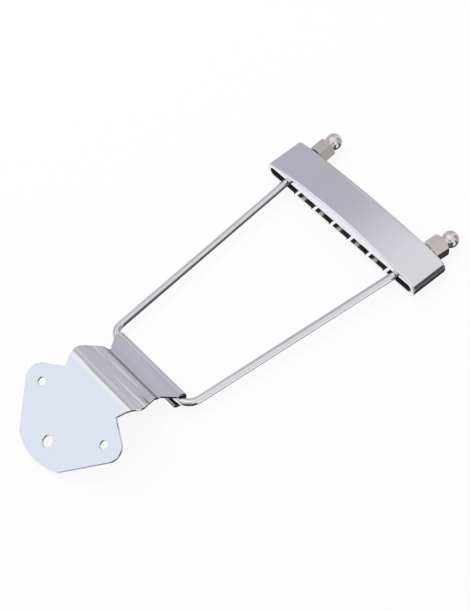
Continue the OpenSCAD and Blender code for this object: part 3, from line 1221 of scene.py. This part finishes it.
# %% Finishes on the pieces
def wear(piece, *finishes):
    mesh = piece.data
    numbers = [polygon.material_index for polygon in mesh.polygons]
    mesh.materials.clear()
    for finish in finishes:
        mesh.materials.append(finish)
    mesh.polygons.foreach_set("material_index", numbers)


wear(wire, drawn)
wear(bar, buffed, pocket_shade)
wear(bracket, pressed, curl_shade, shade_chrome, flat_sheet)
for side in ("left", "right"):
    wear(bpy.data.objects[f"{side}_nut_acorn"], nickel(f"{side}_nut_nickel"))
print("finishes:", sorted(material.name for material in bpy.data.materials if material.users))

# %% [markdown]
# ## Floor, light and surroundings
# Chrome has no colour of its own and shows only what stands round it. The
# photograph was taken on plain white with large soft lights, so the camera sees
# a white floor with a faint shadow. The floor is hidden from reflections: low
# sides would turn white, where the real ones show the tones of a studio.

# %% Floor
floor_half = 3
floor_drop = 0.00005
floor_bm = bmesh.new()
bmesh.ops.create_grid(floor_bm, x_segments=1, y_segments=1, size=floor_half)
bmesh.ops.translate(floor_bm, verts=floor_bm.verts, vec=(0, 0, -floor_drop))
floor_mesh = bpy.data.meshes.new("floor")
floor_bm.to_mesh(floor_mesh)
floor_bm.free()
floor = bpy.data.objects.new("floor", floor_mesh)
bpy.context.scene.collection.objects.link(floor)
floor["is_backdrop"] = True
floor.visible_glossy = False

# %% [markdown]
# White paper alone would come out grey away from the light. Light Path lets a
# glow fill in most of its white for the camera, while the paper underneath still
# carries the shadow. Reflections are wired in as well, so the metal would mirror
# the same white if the floor were shown to it.

# %% White paper
glow_share = 0.88
paper, paper_tree, sheet = new_finish("white_paper")
sheet.inputs["Base Color"].default_value = (0.9, 0.9, 0.9, 1)
sheet.inputs["Roughness"].default_value = 0.9
sheet.inputs["Specular IOR Level"].default_value = 0.1
glow = paper_tree.nodes.new("ShaderNodeEmission")
rays = paper_tree.nodes.new("ShaderNodeLightPath")
either = reckon(paper_tree, "MAXIMUM", rays.outputs["Is Camera Ray"], rays.outputs["Is Glossy Ray"])
seen = paper_tree.nodes.new("ShaderNodeMixShader")
paper_tree.links.new(reckon(paper_tree, "MULTIPLY", either, glow_share), seen.inputs["Fac"])
paper_tree.links.new(sheet.outputs["BSDF"], seen.inputs[1])
paper_tree.links.new(glow.outputs["Emission"], seen.inputs[2])
paper_tree.links.new(seen.outputs["Shader"], paper_tree.nodes["Material Output"].inputs["Surface"])
floor_mesh.materials.append(paper)
print("floor", 2 * floor_half, "m wide")

# %% [markdown]
# ## What the metal sees
# A photographer stands cards and flags round chrome until each face shows the
# tone it should. The rod, the ends and the crown of the bar run along Y, so
# what they mirror lies on a wheel round the Y axis. The folds of the bracket
# and the rims of the bar run along X and mirror a wheel round the X axis. A
# direction is therefore read as two angles: how far it is turned round the
# wheel, from straight up, and how far it leans along the axle.

# %% Reading a direction on the two wheels
world = bpy.data.worlds.new("studio")
bpy.context.scene.world = world
world.use_nodes = True
studio = world.node_tree
looking = studio.nodes.new("ShaderNodeSeparateXYZ")
direction = studio.nodes.new("ShaderNodeTexCoord")
studio.links.new(direction.outputs["Generated"], looking.inputs["Vector"])


def wheel(axle, spoke):
    around = reckon(studio, "ARCTAN2", looking.outputs[spoke], looking.outputs["Z"])
    along = reckon(studio, "ARCSINE", looking.outputs[axle])
    return around, along


round_x = wheel("X", "Y")
round_y = wheel("Y", "X")
print("wheels read:", len(studio.nodes), "nodes")

# %% [markdown]
# A card covers a range of each angle and has soft edges, like a sheet of paper
# a little out of focus. It is laid over what was there before it.

# %% A card
def card(under, angles, around, along, soft, colour):
    covers = []
    for angle, (start, end) in zip(angles, (around, along)):
        off = reckon(studio, "SUBTRACT", angle, math.radians((start + end) / 2))
        half = (end - start) / 2
        outer, inner = math.radians(half + soft), math.radians(half - soft)
        covers.append(ramp(studio, reckon(studio, "ABSOLUTE", off), outer, inner, ease="SMOOTHSTEP"))
    return laid_over(studio, under, reckon(studio, "MULTIPLY", *covers), colour)


# %% [markdown]
# The room is an even grey. A large light card hangs overhead and fades out to
# the left, which gives the bar its slow change from grey to white. A soft box
# in front of it lights the bracket: its blue front is seen by the pad, and its
# edge by the apex of the crest. Two gaps beside it put a grey line along the
# arms, and white cards low down light the bar's lip and the sides of the arms.
# They are hung in this order, because each lies over the ones before it.

# %% Light cards
room = studio.nodes.new("ShaderNodeRGB")
room.outputs["Color"].default_value = (0.51, 0.505, 0.56, 1)
tone = room.outputs["Color"]
tone = card(tone, round_x, (-50, 118), (-20, 75), 13, (0.79, 0.785, 0.81))  # overhead
tone = card(tone, round_x, (40, 128), (-34, -26), 2, (0.552, 0.536, 0.555))  # behind the bracket
tone = card(tone, round_x, (-42, 14), (-46, 14), 6, (1.0, 0.985, 1.0))  # soft box
tone = card(tone, round_x, (-75, -6), (-46, -17), 4, (0.875, 0.905, 0.99))  # its blue front
tone = card(tone, round_x, (-4, 20), (-34, -26.5), 2, (0.99, 0.97, 0.99))  # its edge
tone = card(tone, round_y, (-22, -9), (6, 20), 3, (0.53, 0.525, 0.55))  # gap for the right arm
tone = card(tone, round_y, (-62, -10), (18, 20.5), 1.5, (0.5, 0.495, 0.52))  # wide gap for both arms
tone = card(tone, round_y, (-140, -76), (6, 20), 3, (0.9, 0.9, 0.9))  # low on the left
tone = card(tone, round_x, (-176, -82), (-70, 5), 8, (0.97, 0.96, 1.0))  # low in front
tone = card(tone, round_y, (60, 152), (-50, 17), 1.5, (0.95, 0.94, 0.97))  # low on the right
print("room with light cards:", len(studio.nodes), "nodes")

# %% [markdown]
# Bright chrome looks like paper until something dark gives it edges. Three
# flags stand low on the right, where the bracket's side and the right bend see
# them. The next four, set one over the other, make the dark bands on the bar's
# right end, along the left arm and under the right nut. The last two draw the
# thin black line under the arms.

# %% Dark flags
tone = card(tone, round_y, (138, 184), (-64, 3), 3, (0.07, 0.068, 0.07))
tone = card(tone, round_y, (80, 140), (-66, -9), 3, (0.09, 0.077, 0.082))
tone = card(tone, round_y, (72, 104), (-76, -46), 3, (0.1, 0.085, 0.09))
tone = card(tone, round_y, (64, 182), (18, 29), 1.5, (0.14, 0.138, 0.148))
tone = card(tone, round_y, (67, 81), (18, 29), 1.5, (0.12, 0.119, 0.13))
tone = card(tone, round_y, (83, 103), (18, 29), 1.5, (0.045, 0.044, 0.052))
tone = card(tone, round_y, (147, 182), (19.5, 42), 1.5, (0.035, 0.034, 0.038))
tone = card(tone, round_y, (145, 186), (4, 18), 1.5, (0.02, 0.02, 0.022))
tone = card(tone, round_y, (163, 186), (4, 24), 2, (0.02, 0.02, 0.022))

# %% [markdown]
# Small cards come last, because they lie over the large ones. Each is there for
# one place: a flat of a nut, a side of an arm, or a line along the bracket's
# folds. The balls see all of the studio, so they also show the camera.

# %% Small cards
tone = card(tone, round_y, (32, 48), (16.5, 21.5), 1.2, (0.64, 0.63, 0.64))  # right nut's flat
tone = card(tone, round_y, (38, 79), (25, 30), 2, (0.75, 0.74, 0.76))  # left arm's light side
tone = card(tone, round_y, (-186, -148), (4, 30), 2, (0.02, 0.02, 0.022))  # under the arms
tone = card(tone, round_y, (57, 96), (2, 17), 3, (0.75, 0.74, 0.77))  # right arm's light side
tone = card(tone, round_y, (82, 100), (38, 49), 2, (0.09, 0.085, 0.08))  # a dark spot on the balls
tone = card(tone, round_x, (40, 110), (4, 42), 4, (0.39, 0.37, 0.36))  # grey behind the balls
tone = card(tone, round_x, (49, 57), (-33, -26.5), 1.5, (0.72, 0.7, 0.73))  # lines along the folds
tone = card(tone, round_x, (70, 77), (-33, -26.5), 1.5, (0.76, 0.74, 0.77))
tone = card(tone, round_x, (89, 94), (-33, -26.5), 1, (0.16, 0.16, 0.18))
tone = card(tone, round_y, (-95, -70), (24, 34), 1.5, (0.6, 0.6, 0.63))  # right nut's upper flat
tone = card(tone, round_y, (84, 100), (29.5, 38), 1.5, (0.45, 0.44, 0.45))  # left nut's side
tone = card(tone, round_y, (104, 150), (27, 42), 2, (0.165, 0.155, 0.15))  # left arm's lower side
tone = card(tone, round_x, (-62, -40), (30, 50), 3, (0.09, 0.08, 0.075))  # the camera
print("studio:", len(studio.nodes), "nodes")

# %% [markdown]
# Only reflections see the cards. The camera sees plain white, and everything
# else is lit by an even white sky.

# %% Who sees what
sky_strength = 0.75
mirrored = studio.nodes.new("ShaderNodeBackground")
studio.links.new(tone, mirrored.inputs["Color"])
sky = studio.nodes["Background"]
sky.inputs["Color"].default_value = (1, 1, 1, 1)
sky.inputs["Strength"].default_value = sky_strength
white = studio.nodes.new("ShaderNodeBackground")
white.inputs["Color"].default_value = (1, 1, 1, 1)
rays = studio.nodes.new("ShaderNodeLightPath")


def choose(ray, otherwise, chosen):
    mix = studio.nodes.new("ShaderNodeMixShader")
    studio.links.new(rays.outputs[ray], mix.inputs["Fac"])
    studio.links.new(otherwise, mix.inputs[1])
    studio.links.new(chosen, mix.inputs[2])
    return mix.outputs["Shader"]


for_metal = choose("Is Glossy Ray", sky.outputs["Background"], mirrored.outputs["Background"])
for_camera = choose("Is Camera Ray", for_metal, white.outputs["Background"])
studio.links.new(for_camera, studio.nodes["World Output"].inputs["Surface"])

# %% [markdown]
# One weak soft box on the left gives the shadow on the floor its direction.

# %% Soft light
def soft_box(name, place, aim_at, size, power):
    data = bpy.data.lights.new(name, "AREA")
    data.shape = "SQUARE"
    data.size = size
    data.energy = power
    lamp = bpy.data.objects.new(name, data)
    lamp.location = place
    lamp.rotation_euler = (Vector(aim_at) - Vector(place)).to_track_quat("-Z", "Y").to_euler()
    lamp.visible_glossy = False
    bpy.context.scene.collection.objects.link(lamp)
    print(f"{name}: {power} W, {size} m wide")


soft_box("soft_box", place=(-0.5, 0.1, 0.7), aim_at=(0, 0, 0), size=0.6, power=3)

# %% [markdown]
# ## Hand-over
# The camera draws with plain colours, and the boxes of the CAD model and of this one are printed side
# by side.

# %% Colours as they are, and sizes
bpy.context.scene.view_settings.view_transform = "Standard"
low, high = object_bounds()
for axis, a, b, c, d in zip("XYZ", cad_low, cad_high, low, high):
    print(f"{axis}: CAD {a * 1000:.2f} to {b * 1000:.2f}, visual {c * 1000:.2f} to {d * 1000:.2f} mm")
